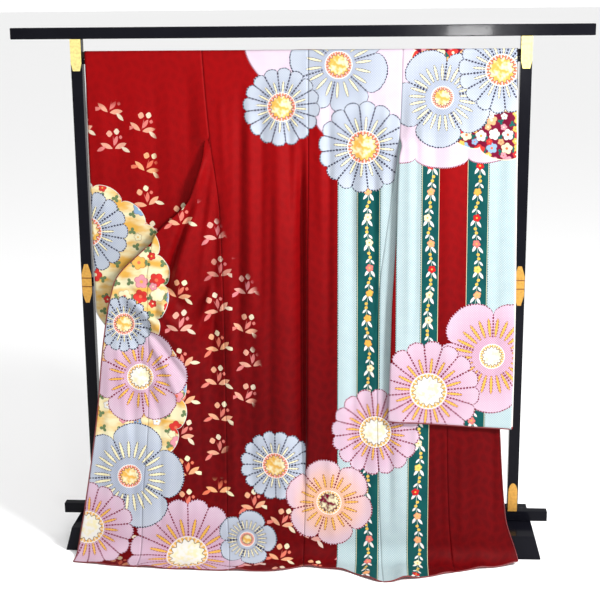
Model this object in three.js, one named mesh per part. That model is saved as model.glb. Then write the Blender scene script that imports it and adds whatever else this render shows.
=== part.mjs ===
// A furisode, the long-sleeved kimono, hung with its back to the viewer on a lacquered iko stand.
// Millimetres, +Z up, the viewer on the -Y side. Left and right are as the viewer sees them.
// The stand's posts are worked out in the plane y = 0; the whole group is then moved so that
// the origin is at the bottom centre of the model's box.

import * as THREE from 'three';

/** Rows of numbers under named columns, as a list of objects. */
function table(columns, ...rows) {
  return rows.map((row) => Object.fromEntries(columns.map((column, i) => [column, row[i]])));
}

// ---------- driving dimensions ----------

const JOINT_GAP = 0.3; // between pieces of the stand that touch
const SEAM_GAP = 0.4; // between pieces of cloth that are sewn together
const CLOTH = 1.6; // thickness of the lined silk

const POST_SPACING = 1352; // centre to centre
const POST_SIZE = 34;
const RAIL = { length: 1750, height: 34, depth: 36, top: 1645 };
const MID_RAIL = { height: 28, depth: 18, centreZ: 856, centreY: 7 };
const LOW_RAIL = { length: 1576, height: 34, depth: 30, top: 113 };
const FOOT = { topWidth: 120, bottomWidth: 164, length: 270 };
const ROD = { radius: 11, z: 1562, sides: 24 };
const PEG = { reach: 9, depth: 17, height: 15 };
const PLATE = 1.4; // thickness of the brass fittings

const ROD_WRAP = ROD.radius + 0.5 + CLOTH / 2; // radius of the cloth's middle over the rod
const LEAN = THREE.MathUtils.degToRad(5.2); // the cloth hangs forward to clear rails and feet
const FLOOR_BEND = 60; // radius with which the cloth turns on to the floor
const FLOOR_LEVEL = 0.6 + CLOTH / 2; // height of the cloth's middle where it lies on the floor

const NECK = { centre: 26, half: 92 };
const COLLAR_WIDTH = 52;
const COLLAR_END = { width: 46, top: 350, bottom: 714, behind: { left: 6.2, right: 2.5 } };
const COLLAR_LIFT = 0.45; // the folded band stands a little off the rod
const UNDERARM = 265; // drop from the shoulder to the end of the sleeve's seam
const SHOULDER_SPLIT = 0.5; // back and front stop this far from the shoulder line
const FRONT_TOP = 285; // drop at which the fronts come out beside the back
const OKUMI_TOP = 600; // drop at which the overlap panels begin
const CUFF_OPENING = 230;
const SLEEVE_DROP = { inner: 1137, outer: 1157 };
const SLEEVE_AHEAD = 15; // how far the right sleeve hangs in front of the body
const SLEEVE_FULLNESS = 4.5; // half of a sleeve's hollow at its open inner edge

// Free edges and seams across the spread garment: x at each drop below the shoulder line.
const EDGE_TABLE = table(
  ['drop', 'frontLeft', 'okumiLeft', 'sideLeft', 'centre', 'sideRight', 'okumiRight', 'frontRight'],
  [   0, -294, -294, -294, 28, 311, 311, 311],
  [ 140, -288, -288, -284, 28, 308, 308, 312],
  [ 285, -289, -289, -271, 28, 302, 320, 322],
  [ 450, -374, -374, -250, 27, 281, 400, 402],
  [ 585, -474, -472, -242, 25, 262, 452, 476],
  [ 714, -576, -473, -238, 23, 246, 456, 548],
  [ 900, -614, -473, -235, 22, 239, 456, 604],
  [1140, -641, -478, -233, 20, 241, 457, 618],
  [1440, -688, -503, -231, 15, 250, 466, 642],
  [1570, -710, -507, -224, 12, 256, 477, 680],
  [1750, -716, -506, -204, 20, 264, 492, 706],
);

// How far in front of the posts the hem lies on the floor, at each x.
const HEM_TABLE = table(
  ['x', 'reach'],
  [-716, 222],
  [-526, 248],
  [-335, 260],
  [-204, 262],
  [ -70, 258],
  [  20, 226],
  [ 130, 240],
  [ 263, 316],
  [ 406, 272],
  [ 531, 222],
  [ 626, 196],
  [ 706, 170],
);

// The sleeves' inner and outer edges at each drop.
const SLEEVE_TABLE = table(
  ['drop', 'leftOuter', 'leftInner', 'rightInner', 'rightOuter'],
  [   0, -650, -294, 311, 648],
  [ 100, -650, -288, 310, 650],
  [ 180, -650, -283, 309, 650],
  [ 235, -650, -282, 312, 650],
  [ 262, -651, -287, 316, 651],
  [ 330, -651, -300, 303, 651],
  [ 585, -652, -304, 295, 653],
  [ 810, -650, -300, 284, 655],
  [ 900, -606, -296, 282, 655],
  [1157, -598, -290, 275, 653],
);

// The front panels above the underarm, where they come down behind the back and are gathered:
// the edges at each drop, and how far behind the posts' plane the cloth lies.
const UPPER_FRONT_TABLE = table(
  ['drop', 'behind', 'leftOuter', 'leftInner', 'rightInner', 'rightOuter'],
  [  0,   0, -294,  -66, 118, 311],
  [ 20,  13, -293,  -68, 120, 311],
  [100,   9, -288, -104, 152, 309],
  [180,  -3, -281, -168, 210, 307],
  [235, -18, -280, -240, 270, 310],
  [262, -27, -285, -277, 306, 315],
);

// Large folds of the body: soft ridges (height > 0) and troughs along a line from one point
// on the cloth to another, each point given by x and drop.
const FOLD_TABLE = table(
  ['fromX', 'fromDrop', 'toX', 'toDrop', 'width', 'height'],
  [   2,  260,   -2, 1500, 22, -9], // beside the centre seam
  [ -42,  200,  -52, 1560, 34,  8],
  [-130,   60, -150, 1100, 40,  5],
  [-190,  420, -182, 1520, 26, -6],
  [-262,  330, -368,  760, 24, 10], // fan from the underarm
  [-300,  400, -430,  790, 20, -9],
  [-255,  520, -300, 1200, 26,  8],
  [-556,  716, -330,  860, 26,  9], // fan from the pinned edge
  [-566,  742, -400, 1080, 22, -6],
  [-590,  820, -560, 1500, 28,  6],
  [ 120,   80,  128, 1500, 36,  6],
  [ 196,  500,  205, 1560, 22, -8],
  [ 300,  760,  318, 1560, 34,  7],
  [ 400, 1120,  404, 1590, 24, -6],
  [ 545, 1100,  560, 1560, 34,  5],
);

// Drops of the rows of points that the body's panels share.
const UPPER_DROPS = [32, 60, 100, 140, 180, 210, 235, 262];
const HANG_DROPS = [...UPPER_DROPS, 285, 350, 420, 500, 600, 657, 714, 800, 900, 1010, 1140, 1290, 1440];

const COLOURS = {
  lacquer: 0x0b0b0d,
  brass: 0xd8ad55,
  rod: 0x17120f,
  silk: 0x8e0b14,
};

// ---------- small helpers ----------

const group = new THREE.Group();

function addMesh(name, geometry, colour, roughness, metalness) {
  const material = new THREE.MeshStandardMaterial({ color: colour, roughness, metalness });
  const mesh = new THREE.Mesh(geometry, material);
  mesh.name = name;
  group.add(mesh);
  return mesh;
}

function addLacquer(name, geometry) {
  return addMesh(name, geometry, COLOURS.lacquer, 0.15, 0);
}

function addSilk(name, geometry) {
  return addMesh(name, geometry, COLOURS.silk, 0.75, 0);
}

/** 0 below start, 1 above end, with a smooth rise between. */
function ease(value, start, end) {
  const t = THREE.MathUtils.clamp((value - start) / (end - start), 0, 1);
  return t * t * (3 - 2 * t);
}

/** A column of a table at a value of its key column: a smooth curve with no overshoot. */
function lookUp(table, key, column, value) {
  const last = table.length - 1;
  const at = THREE.MathUtils.clamp(value, table[0][key], table[last][key]);
  let i = 0;
  while (i < last - 1 && table[i + 1][key] < at) i += 1;
  const slope = (k) => (table[k + 1][column] - table[k][column]) / (table[k + 1][key] - table[k][key]);
  const tangent = (k) => {
    if (k === 0) return slope(0);
    if (k === last) return slope(last - 1);
    const before = slope(k - 1);
    const after = slope(k);
    return before * after > 0 ? (2 * before * after) / (before + after) : 0;
  };
  const span = table[i + 1][key] - table[i][key];
  const t = (at - table[i][key]) / span;
  const a = table[i][column];
  const b = table[i + 1][column];
  const rise = t * t * (3 - 2 * t);
  return a + (b - a) * rise
    + span * (t * (1 - t) ** 2 * tangent(i) - t * t * (1 - t) * tangent(i + 1));
}

/** Numbers from start to end in equal steps, both ends included. */
function steps(start, end, count) {
  return Array.from({ length: count + 1 }, (_, i) => start + ((end - start) * i) / count);
}

/** A closed wall of cloth: rows of middle points, thickened both ways along their normals. */
function clothWall(rows, thickness = CLOTH) {
  const rowCount = rows.length;
  const columnCount = rows[0].length;
  const positions = [];
  const put = (side) => {
    for (let i = 0; i < rowCount; i += 1) {
      for (let j = 0; j < columnCount; j += 1) {
        const along = new THREE.Vector3().subVectors(
          rows[Math.min(i + 1, rowCount - 1)][j], rows[Math.max(i - 1, 0)][j]);
        const across = new THREE.Vector3().subVectors(
          rows[i][Math.min(j + 1, columnCount - 1)], rows[i][Math.max(j - 1, 0)]);
        const normal = along.cross(across).normalize();
        const point = rows[i][j].clone().addScaledVector(normal, (side * thickness) / 2);
        positions.push(point.x, point.y, point.z);
      }
    }
  };
  put(1);
  put(-1);
  const back = rowCount * columnCount;
  const index = [];
  const quad = (a, b, c, d) => index.push(a, b, c, a, c, d);
  const vertex = (i, j) => i * columnCount + j;
  for (let i = 0; i < rowCount - 1; i += 1) {
    for (let j = 0; j < columnCount - 1; j += 1) {
      quad(vertex(i, j), vertex(i + 1, j), vertex(i + 1, j + 1), vertex(i, j + 1));
      quad(back + vertex(i, j), back + vertex(i, j + 1),
        back + vertex(i + 1, j + 1), back + vertex(i + 1, j));
    }
  }
  const rim = [];
  for (let j = 0; j < columnCount - 1; j += 1) rim.push([vertex(0, j), vertex(0, j + 1)]);
  for (let i = 0; i < rowCount - 1; i += 1) {
    rim.push([vertex(i, columnCount - 1), vertex(i + 1, columnCount - 1)]);
  }
  for (let j = columnCount - 1; j > 0; j -= 1) {
    rim.push([vertex(rowCount - 1, j), vertex(rowCount - 1, j - 1)]);
  }
  for (let i = rowCount - 1; i > 0; i -= 1) rim.push([vertex(i, 0), vertex(i - 1, 0)]);
  rim.forEach(([a, b]) => quad(a, b, back + b, back + a));
  const geometry = new THREE.BufferGeometry();
  geometry.setAttribute('position', new THREE.Float32BufferAttribute(positions, 3));
  geometry.setIndex(signedVolume(positions, index) < 0 ? index.reverse() : index);
  geometry.computeVertexNormals();
  return geometry;
}

function signedVolume(positions, index) {
  const corner = (k) => new THREE.Vector3().fromArray(positions, index[k] * 3);
  let volume = 0;
  for (let k = 0; k < index.length; k += 3) {
    volume += corner(k).dot(corner(k + 1).cross(corner(k + 2)));
  }
  return volume;
}

// ---------- the stand ----------

/** A beam with its middle at a point. */
function beam(name, size, centre) {
  const mesh = addLacquer(name, new THREE.BoxGeometry(size.x, size.y, size.z));
  mesh.position.set(centre.x, centre.y, centre.z);
}

/** An outline in the x-z plane, given a thickness along y, with its front face at frontY. */
function uprightPlate(shape, thickness, frontY) {
  const geometry = new THREE.ExtrudeGeometry(shape, { depth: thickness, bevelEnabled: false });
  geometry.rotateX(Math.PI / 2);
  geometry.translate(0, frontY + thickness, 0);
  return geometry;
}

function buildRails() {
  const inner = POST_SPACING - POST_SIZE - 2 * JOINT_GAP;
  beam('top_rail', { x: RAIL.length, y: RAIL.depth, z: RAIL.height },
    { x: 0, y: 0, z: RAIL.top - RAIL.height / 2 });
  beam('mid_rail', { x: inner, y: MID_RAIL.depth, z: MID_RAIL.height },
    { x: 0, y: MID_RAIL.centreY, z: MID_RAIL.centreZ });
  beam('lower_rail', { x: LOW_RAIL.length, y: LOW_RAIL.depth, z: LOW_RAIL.height },
    { x: 0, y: 0, z: LOW_RAIL.top - LOW_RAIL.height / 2 });
}

function buildPost(side, name) {
  const bottom = LOW_RAIL.top + JOINT_GAP;
  const top = RAIL.top - RAIL.height - JOINT_GAP;
  beam(`post_${name}`, { x: POST_SIZE, y: POST_SIZE, z: top - bottom },
    { x: (side * POST_SPACING) / 2, y: 0, z: (top + bottom) / 2 });
}

function buildFoot(side, name) {
  const height = LOW_RAIL.top - LOW_RAIL.height - JOINT_GAP;
  const outline = new THREE.Shape();
  outline.moveTo(-FOOT.bottomWidth / 2, 0);
  outline.lineTo(FOOT.bottomWidth / 2, 0);
  outline.lineTo(FOOT.topWidth / 2, height);
  outline.lineTo(-FOOT.topWidth / 2, height);
  outline.closePath();
  const mesh = addLacquer(`foot_${name}`, uprightPlate(outline, FOOT.length, -FOOT.length / 2));
  mesh.position.x = (side * POST_SPACING) / 2;
}

function buildRod() {
  const length = POST_SPACING - POST_SIZE - 2 * JOINT_GAP;
  const geometry = new THREE.CylinderGeometry(ROD.radius, ROD.radius, length, ROD.sides);
  geometry.rotateZ(Math.PI / 2);
  const mesh = addMesh('hanging_rod', geometry, COLOURS.rod, 0.4, 0);
  mesh.position.z = ROD.z;
}

function buildPeg(side, name) {
  const inner = POST_SPACING / 2 - POST_SIZE / 2 - JOINT_GAP;
  beam(`rod_peg_${name}`, { x: PEG.reach, y: PEG.depth, z: PEG.height },
    { x: side * (inner - PEG.reach / 2), y: 0, z: ROD.z - ROD.radius - JOINT_GAP - PEG.height / 2 });
}

/** Rectangle whose lower end tapers to a narrower blunt tip. */
function topPlateOutline() {
  const half = 16.5;
  const tipHalf = 11;
  const top = RAIL.top - RAIL.height - JOINT_GAP;
  const bottom = top - 95;
  const shoulder = bottom + 24;
  return [[-half, top], [-half, shoulder], [-tipHalf, bottom],
    [tipHalf, bottom], [half, shoulder], [half, top]];
}

/** Long hexagon with blunt ends. */
function midPlateOutline() {
  const half = 15.5;
  const tipHalf = 6;
  const middle = MID_RAIL.centreZ;
  const tall = 62;
  const straight = 30;
  return [[-half, middle - straight], [-tipHalf, middle - tall], [tipHalf, middle - tall],
    [half, middle - straight], [half, middle + straight], [tipHalf, middle + tall],
    [-tipHalf, middle + tall], [-half, middle + straight]];
}

/** Straight sides and a round top, standing on the lower rail. */
function lowPlateOutline() {
  const half = 14.5;
  const bottom = LOW_RAIL.top + JOINT_GAP;
  const springing = bottom + 66;
  const rise = 30;
  const arch = steps(0, Math.PI, 8).map((a) => [half * Math.cos(a), springing + rise * Math.sin(a)]);
  return [[-half, bottom], [half, bottom], ...arch];
}

function buildPlates(side, name) {
  const outlines = { top: topPlateOutline(), mid: midPlateOutline(), low: lowPlateOutline() };
  const faces = { front: -POST_SIZE / 2 - JOINT_GAP - PLATE, back: POST_SIZE / 2 + JOINT_GAP };
  Object.entries(outlines).forEach(([place, points]) => {
    Object.entries(faces).forEach(([face, frontY]) => {
      const shape = new THREE.Shape(points.map(([x, z]) => new THREE.Vector2(x, z)));
      const geometry = uprightPlate(shape, PLATE, frontY);
      const mesh = addMesh(`brass_${place}_${name}_${face}`, geometry, COLOURS.brass, 0.35, 0.9);
      mesh.position.x = (side * POST_SPACING) / 2;
    });
  });
}

// ---------- how the cloth hangs ----------

const WRAP_LENGTH = (ROD_WRAP * Math.PI) / 2; // from the shoulder line to the rod's side
const FORWARD = new THREE.Vector2(-Math.cos(LEAN), Math.sin(LEAN)); // (y, z), towards the viewer
const DOWN = new THREE.Vector2(-Math.sin(LEAN), -Math.cos(LEAN));
const BEND_TOP_Z = FLOOR_LEVEL + FLOOR_BEND * (1 - Math.sin(LEAN));
const HANG_LENGTH = (ROD.z - BEND_TOP_Z) / Math.cos(LEAN);
const BEND_TOP_Y = -ROD_WRAP - HANG_LENGTH * Math.sin(LEAN);
const BEND_LENGTH = FLOOR_BEND * (Math.PI / 2 - LEAN);
const BEND_START = WRAP_LENGTH + HANG_LENGTH;
const FLOOR_START = BEND_START + BEND_LENGTH;
const FLOOR_REACH = -BEND_TOP_Y + FLOOR_BEND * Math.cos(LEAN);

/** Where the cloth's plane is, drop mm down from the shoulder, and which way it faces. */
function hang(drop) {
  if (drop < WRAP_LENGTH) {
    const angle = drop / ROD_WRAP;
    const face = new THREE.Vector2(-Math.sin(angle), Math.cos(angle));
    return { y: ROD_WRAP * face.x, z: ROD.z + ROD_WRAP * face.y, face };
  }
  if (drop < BEND_START) {
    const run = drop - WRAP_LENGTH;
    return { y: -ROD_WRAP + run * DOWN.x, z: ROD.z + run * DOWN.y, face: FORWARD };
  }
  if (drop < FLOOR_START) {
    const angle = LEAN + (drop - BEND_START) / FLOOR_BEND;
    const face = new THREE.Vector2(-Math.cos(angle), Math.sin(angle));
    return {
      y: -FLOOR_REACH - FLOOR_BEND * face.x,
      z: FLOOR_LEVEL + FLOOR_BEND * (1 - face.y),
      face,
    };
  }
  return { y: -FLOOR_REACH - (drop - FLOOR_START), z: FLOOR_LEVEL, face: new THREE.Vector2(0, 1) };
}

/** How far the folds lift the cloth off its plane. */
function relief(x, drop) {
  let lift = 0;
  FOLD_TABLE.forEach((fold) => {
    const runX = fold.toX - fold.fromX;
    const runDrop = fold.toDrop - fold.fromDrop;
    const length = Math.hypot(runX, runDrop);
    const along = ((x - fold.fromX) * runX + (drop - fold.fromDrop) * runDrop) / (length * length);
    const aside = ((x - fold.fromX) * runDrop - (drop - fold.fromDrop) * runX) / length;
    const swell = ease(along, 0, 0.25) * (1 - ease(along, 0.72, 1));
    lift += fold.height * swell * Math.exp(-((aside / fold.width) ** 2));
  });
  return lift * ease(drop, 60, 260) * (1 - ease(drop, BEND_START - 60, FLOOR_START - 20));
}

/** A point of the spread body, set ahead mm towards the viewer of the common plane. */
function bodyPoint(x, drop, ahead = 0) {
  const { y, z, face } = hang(drop);
  return new THREE.Vector3(x, y + face.x * ahead, z + face.y * ahead);
}

const edge = (column, drop) => lookUp(EDGE_TABLE, 'drop', column, drop);

function hemDrop(x) {
  return FLOOR_START + lookUp(HEM_TABLE, 'x', 'reach', x) - FLOOR_REACH;
}

/** Drops of the rows of a panel from a first drop on; panels share them, so that seams match. */
function rowDrops(first) {
  return [...HANG_DROPS.filter((drop) => drop >= first), ...steps(BEND_START, FLOOR_START - 50, 2)];
}

/** Rows of points between two edges, ending at the hem; the edges keep half a seam's gap. */
function spreadRows(drops, leftEdge, rightEdge, columns) {
  const across = (drop, u, hem) => {
    const left = edge(leftEdge, drop) + SEAM_GAP / 2;
    const right = edge(rightEdge, drop) - SEAM_GAP / 2;
    const x = left + (right - left) * u;
    return hem ? { x, drop: hemDrop(x) } : { x, drop };
  };
  const rows = drops.map((drop) => steps(0, 1, columns).map((u) => {
    const at = across(drop, u, false);
    return bodyPoint(at.x, at.drop, relief(at.x, at.drop));
  }));
  const lowest = drops[drops.length - 1];
  [0.5, 1].forEach((part) => {
    rows.push(steps(0, 1, columns).map((u) => {
      const end = across(FLOOR_START + 40, u, true);
      const start = across(lowest, u, false);
      const x = start.x + (end.x - start.x) * part;
      return bodyPoint(x, lowest + (end.drop - lowest) * part);
    }));
  });
  return rows;
}

// ---------- the garment ----------

function buildBacks() {
  const wrap = steps(SHOULDER_SPLIT, WRAP_LENGTH, 4);
  const drops = [...wrap, ...rowDrops(HANG_DROPS[0])];
  addSilk('back_left', clothWall(spreadRows(drops, 'sideLeft', 'centre', 8)));
  addSilk('back_right', clothWall(spreadRows(drops, 'centre', 'sideRight', 8)));
}

/** The cloth behind the shoulder: over the back of the rod and down to the underarm. */
function upperFrontPoint(x, drop, lift = 0) {
  const radius = ROD_WRAP + lift;
  if (drop < WRAP_LENGTH) {
    const angle = drop / ROD_WRAP;
    return new THREE.Vector3(x, radius * Math.sin(angle), ROD.z + radius * Math.cos(angle));
  }
  const y = lookUp(UPPER_FRONT_TABLE, 'drop', 'behind', drop);
  return new THREE.Vector3(x, Math.min(y, ROD_WRAP) + lift, ROD.z + WRAP_LENGTH - drop);
}

/** The front: from the shoulder down behind the back, round the underarm and out to the side. */
function frontRows(upperLeft, upperRight, lowerLeft, lowerRight, columns) {
  const upperDrops = [...steps(SHOULDER_SPLIT, WRAP_LENGTH, 4), ...UPPER_DROPS];
  const upper = upperDrops.map((drop) => {
    const left = lookUp(UPPER_FRONT_TABLE, 'drop', upperLeft, drop) + SEAM_GAP / 2;
    const right = lookUp(UPPER_FRONT_TABLE, 'drop', upperRight, drop) - SEAM_GAP / 2;
    return steps(left, right, columns).map((x) => upperFrontPoint(x, drop));
  });
  return [...upper, ...spreadRows(rowDrops(FRONT_TOP), lowerLeft, lowerRight, columns)];
}

function buildFronts() {
  const columns = 7;
  const left = frontRows('leftOuter', 'leftInner', 'okumiLeft', 'sideLeft', columns);
  const right = frontRows('rightInner', 'rightOuter', 'sideRight', 'okumiRight', columns);
  addSilk('front_left', clothWall(left));
  addSilk('front_right', clothWall(right));
}

function buildOkumi() {
  const drops = rowDrops(OKUMI_TOP);
  addSilk('okumi_left', clothWall(spreadRows(drops, 'frontLeft', 'okumiLeft', 5)));
  addSilk('okumi_right', clothWall(spreadRows(drops, 'okumiRight', 'frontRight', 5)));
}

/** The collar: a band sewn along the fronts' inner edges and round the back of the neck. */
function buildCollar() {
  const legDrops = [...UPPER_DROPS].reverse();
  const left = legDrops.map((drop) => ({
    x: lookUp(UPPER_FRONT_TABLE, 'drop', 'leftInner', drop) + SEAM_GAP,
    drop,
  }));
  const right = legDrops.map((drop) => ({
    x: lookUp(UPPER_FRONT_TABLE, 'drop', 'rightInner', drop) - SEAM_GAP,
    drop,
  })).reverse();
  const neck = steps(-0.88, 0.88, 14).map((t) => ({
    x: NECK.centre + NECK.half * t,
    drop: 1.2 + 24 * Math.abs(t) ** 3,
  }));
  const sewn = [...left, ...neck, ...right];
  const rows = sewn.map((point, i) => {
    const before = sewn[Math.max(i - 1, 0)];
    const after = sewn[Math.min(i + 1, sewn.length - 1)];
    const length = Math.hypot(after.x - before.x, after.drop - before.drop);
    const inwardX = (before.drop - after.drop) / length;
    const inwardDrop = (after.x - before.x) / length;
    return [0, 0.09, 0.18, 0.27, 0.37, 0.5, 0.75, 1].map((part) => {
      const away = part * COLLAR_WIDTH;
      const x = point.x + inwardX * away;
      return upperFrontPoint(x, point.drop + inwardDrop * away, COLLAR_LIFT);
    });
  });
  addSilk('collar', clothWall(rows));
}

/** The rest of the collar, turned in behind a front's slanting edge from the underarm down. */
function buildCollarEnd(side, name) {
  const freeEdge = side < 0 ? 'frontLeft' : 'frontRight';
  const seamEdge = side < 0 ? 'sideLeft' : 'sideRight';
  const drops = HANG_DROPS.filter((drop) => drop >= COLLAR_END.top && drop <= COLLAR_END.bottom);
  const rows = drops.map((drop) => {
    const outer = edge(freeEdge, drop);
    const room = Math.abs(edge(seamEdge, drop) - outer) - 2;
    const width = Math.min(COLLAR_END.width, room);
    return steps(outer, outer - side * width, 3).map(
      (x) => bodyPoint(x, drop, relief(x, drop) - COLLAR_END.behind[name]));
  });
  addSilk(`collar_end_${name}`, clothWall(rows));
}

/** One sleeve: a strip folded over the rod, its two sides closed at the outer edge and the bottom. */
function sleevePoint(side, drop, u, leg, x) {
  if (drop < WRAP_LENGTH) {
    const angle = (leg * drop) / ROD_WRAP;
    return new THREE.Vector3(x, -ROD_WRAP * Math.sin(angle), ROD.z + ROD_WRAP * Math.cos(angle));
  }
  const settled = ease(drop, WRAP_LENGTH, UNDERARM);
  const plane = hang(drop);
  const run = drop - WRAP_LENGTH;
  const core = side < 0
    ? { y: -11 * settled, z: ROD.z - run }
    : {
      y: (plane.y + plane.face.x * (SLEEVE_AHEAD + relief(x, drop))) * settled,
      z: plane.z + plane.face.y * SLEEVE_AHEAD * settled,
    };
  const closed = CLOTH / 2 + SEAM_GAP / 2;
  const toBottom = THREE.MathUtils.lerp(SLEEVE_DROP.inner, SLEEVE_DROP.outer, u) - drop;
  const shut = Math.sqrt(Math.max(0, 1 - u)) * Math.sqrt(THREE.MathUtils.clamp(toBottom / 300, 0, 1));
  const slim = closed + SLEEVE_FULLNESS * shut;
  const opened = 1 - ease(drop, WRAP_LENGTH, CUFF_OPENING + 20);
  const half = slim + (ROD_WRAP - slim) * opened;
  return new THREE.Vector3(x, core.y - leg * half, core.z);
}

function buildSleeve(side, name) {
  const innerColumn = `${name}Inner`;
  const outerColumn = `${name}Outer`;
  const hangDrops = [...UPPER_DROPS, ...steps(330, SLEEVE_DROP.outer, 8)];
  const legDrops = [...steps(5, WRAP_LENGTH, 3), ...hangDrops];
  const leg = (direction, drops) => drops.map((drop) => steps(0, 1, 7).map((u) => {
    const short = (SLEEVE_DROP.outer - SLEEVE_DROP.inner) * (1 - u);
    const at = drop - short * ease(drop, UNDERARM, SLEEVE_DROP.outer);
    const inner = lookUp(SLEEVE_TABLE, 'drop', innerColumn, drop) + (side * SEAM_GAP) / 2;
    const outer = lookUp(SLEEVE_TABLE, 'drop', outerColumn, drop);
    return sleevePoint(side, at, u, direction, inner + (outer - inner) * u);
  }));
  const rows = [...leg(1, [...legDrops].reverse()), ...leg(-1, [0.01, ...legDrops])];
  addSilk(`sleeve_${name}`, clothWall(rows));
}

// ---------- assembly ----------

buildRails();
buildRod();
[[-1, 'left'], [1, 'right']].forEach(([side, name]) => {
  buildPost(side, name);
  buildFoot(side, name);
  buildPeg(side, name);
  buildPlates(side, name);
});
buildBacks();
buildFronts();
buildOkumi();
buildCollar();
[[-1, 'left'], [1, 'right']].forEach(([side, name]) => buildCollarEnd(side, name));
[[-1, 'left'], [1, 'right']].forEach(([side, name]) => buildSleeve(side, name));

group.updateMatrixWorld(true);
const box = new THREE.Box3().setFromObject(group, true);
group.position.y = -(box.min.y + box.max.y) / 2;

export default group;
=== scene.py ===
"""The looks of a furisode hung with its back to the viewer on a lacquered iko stand.

The cloth is worked out in millimetres, with the posts' plane at y = 0, from the same
dimensions as the CAD model, and set into the frame in metres. "Drop" is the distance down
the cloth from the shoulder line, which lies over the rod.
"""

from math import cos, pi, radians, sin, tau

import bmesh
import bpy
import numpy as np
from mathutils import Matrix, Vector


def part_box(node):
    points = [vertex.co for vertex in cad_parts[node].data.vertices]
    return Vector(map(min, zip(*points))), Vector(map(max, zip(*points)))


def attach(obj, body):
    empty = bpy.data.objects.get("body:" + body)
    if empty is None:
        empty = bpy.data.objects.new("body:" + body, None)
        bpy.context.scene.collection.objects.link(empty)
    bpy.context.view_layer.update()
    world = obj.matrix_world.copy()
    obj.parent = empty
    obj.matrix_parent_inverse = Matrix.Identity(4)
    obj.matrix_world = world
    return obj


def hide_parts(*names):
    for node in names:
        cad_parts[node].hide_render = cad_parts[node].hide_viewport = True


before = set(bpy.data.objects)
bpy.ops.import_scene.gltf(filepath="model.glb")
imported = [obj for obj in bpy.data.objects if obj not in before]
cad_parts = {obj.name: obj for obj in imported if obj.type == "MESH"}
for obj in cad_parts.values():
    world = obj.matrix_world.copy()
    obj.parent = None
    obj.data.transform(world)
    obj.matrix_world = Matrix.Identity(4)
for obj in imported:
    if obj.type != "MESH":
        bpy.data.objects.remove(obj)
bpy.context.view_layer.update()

# ---------- dimensions, in millimetres ----------

POST_PLANE = sum(c.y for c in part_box("post_left")) / 2 * 1000  # the posts' y in the frame
ROD_RADIUS = 11.0
ROD_Z = 1562.0
CLOTH = 1.6
ROD_WRAP = ROD_RADIUS + 0.5 + CLOTH / 2
LEAN = radians(5.2)
FLOOR_BEND = 60.0
FLOOR_LEVEL = 0.6 + CLOTH / 2
NECK_CENTRE, NECK_HALF = 26.0, 92.0
COLLAR_WIDTH = 52.0
COLLAR_END = {"width": 46, "top": 350, "bottom": 714, "behind": {"left": 5.0, "right": 2.5}}
UNDERARM = 265.0
SEAM_TOP = 262.0  # the side seams begin here, and the fronts come out from behind the back
SEAM_SETTLED = 300.0  # below this the cloth is clear of the seam's pull
CUFF_OPENING = 230.0
SLEEVE_INNER, SLEEVE_OUTER = 1137.0, 1157.0
SLEEVE_AHEAD = 15.0
SLEEVE_FULLNESS = 4.5
SLEEVE_TUCK = 12.0  # how far the left sleeve runs on behind the folded front
TUCK_FULL, TUCK_FADES, TUCK_ENDS = 292.0, 420.0, 600.0  # the drops between which it does
BACK_LEG_WIDER = 4.0  # how much wider the sleeve's leg behind is
OKUMI_TOP = 600.0
HEM_SHAPED = 1250.0  # from this drop down, the rows turn towards the line of the hem
HEM_LINE = 1700.0  # the drop at which the edges' x is read for the hem
FLOOR_LENGTH = 150.0  # of the cloth that lies on the floor
SEAM_GAP = 0.16
SEAM_SINK = 0.9  # how deep the cloth turns in beside a seam
SEAM_REACH = 3.2  # how far from the seam it does
HEM_ROLL, FRONT_ROLL, SLEEVE_ROLL = 2.1, 1.7, 2.6  # radii of the rolled edges
COLLAR_TURN = 28.0  # above this drop the collar follows the neck
COLLAR_STEP = 6.0
FIRST_DROP = 0.3  # the panels begin this far down, clear of each other on the rod
ROW_STEP, COLUMN_STEP = 7.0, 6.0  # mesh spacing down and across the cloth
SHELL = 1.3  # thickness of the shells
SIDES = ((-1, "left"), (1, "right"))


class Table:
    """Rows under named columns, read as smooth curves that don't overshoot."""

    def __init__(self, columns, *rows):
        values = np.array(rows, float)
        self.keys = values[:, 0]
        self.columns = {name: values[:, i] for i, name in enumerate(columns)}

    def at(self, column, value):
        keys, values = self.keys, self.columns[column]
        slope = np.diff(values) / np.diff(keys)
        before, after = slope[:-1], slope[1:]
        same = before * after > 0
        middle = np.where(same, 2 * before * after / np.where(same, before + after, 1), 0)
        tangent = np.concatenate([slope[:1], middle, slope[-1:]])
        at = np.clip(value, keys[0], keys[-1])
        i = np.clip(np.searchsorted(keys, at, side="left") - 1, 0, len(keys) - 2)
        span = keys[i + 1] - keys[i]
        t = (at - keys[i]) / span
        rise = t * t * (3 - 2 * t)
        bend = t * (1 - t) ** 2 * tangent[i] - t * t * (1 - t) * tangent[i + 1]
        return values[i] + (values[i + 1] - values[i]) * rise + span * bend


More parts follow.
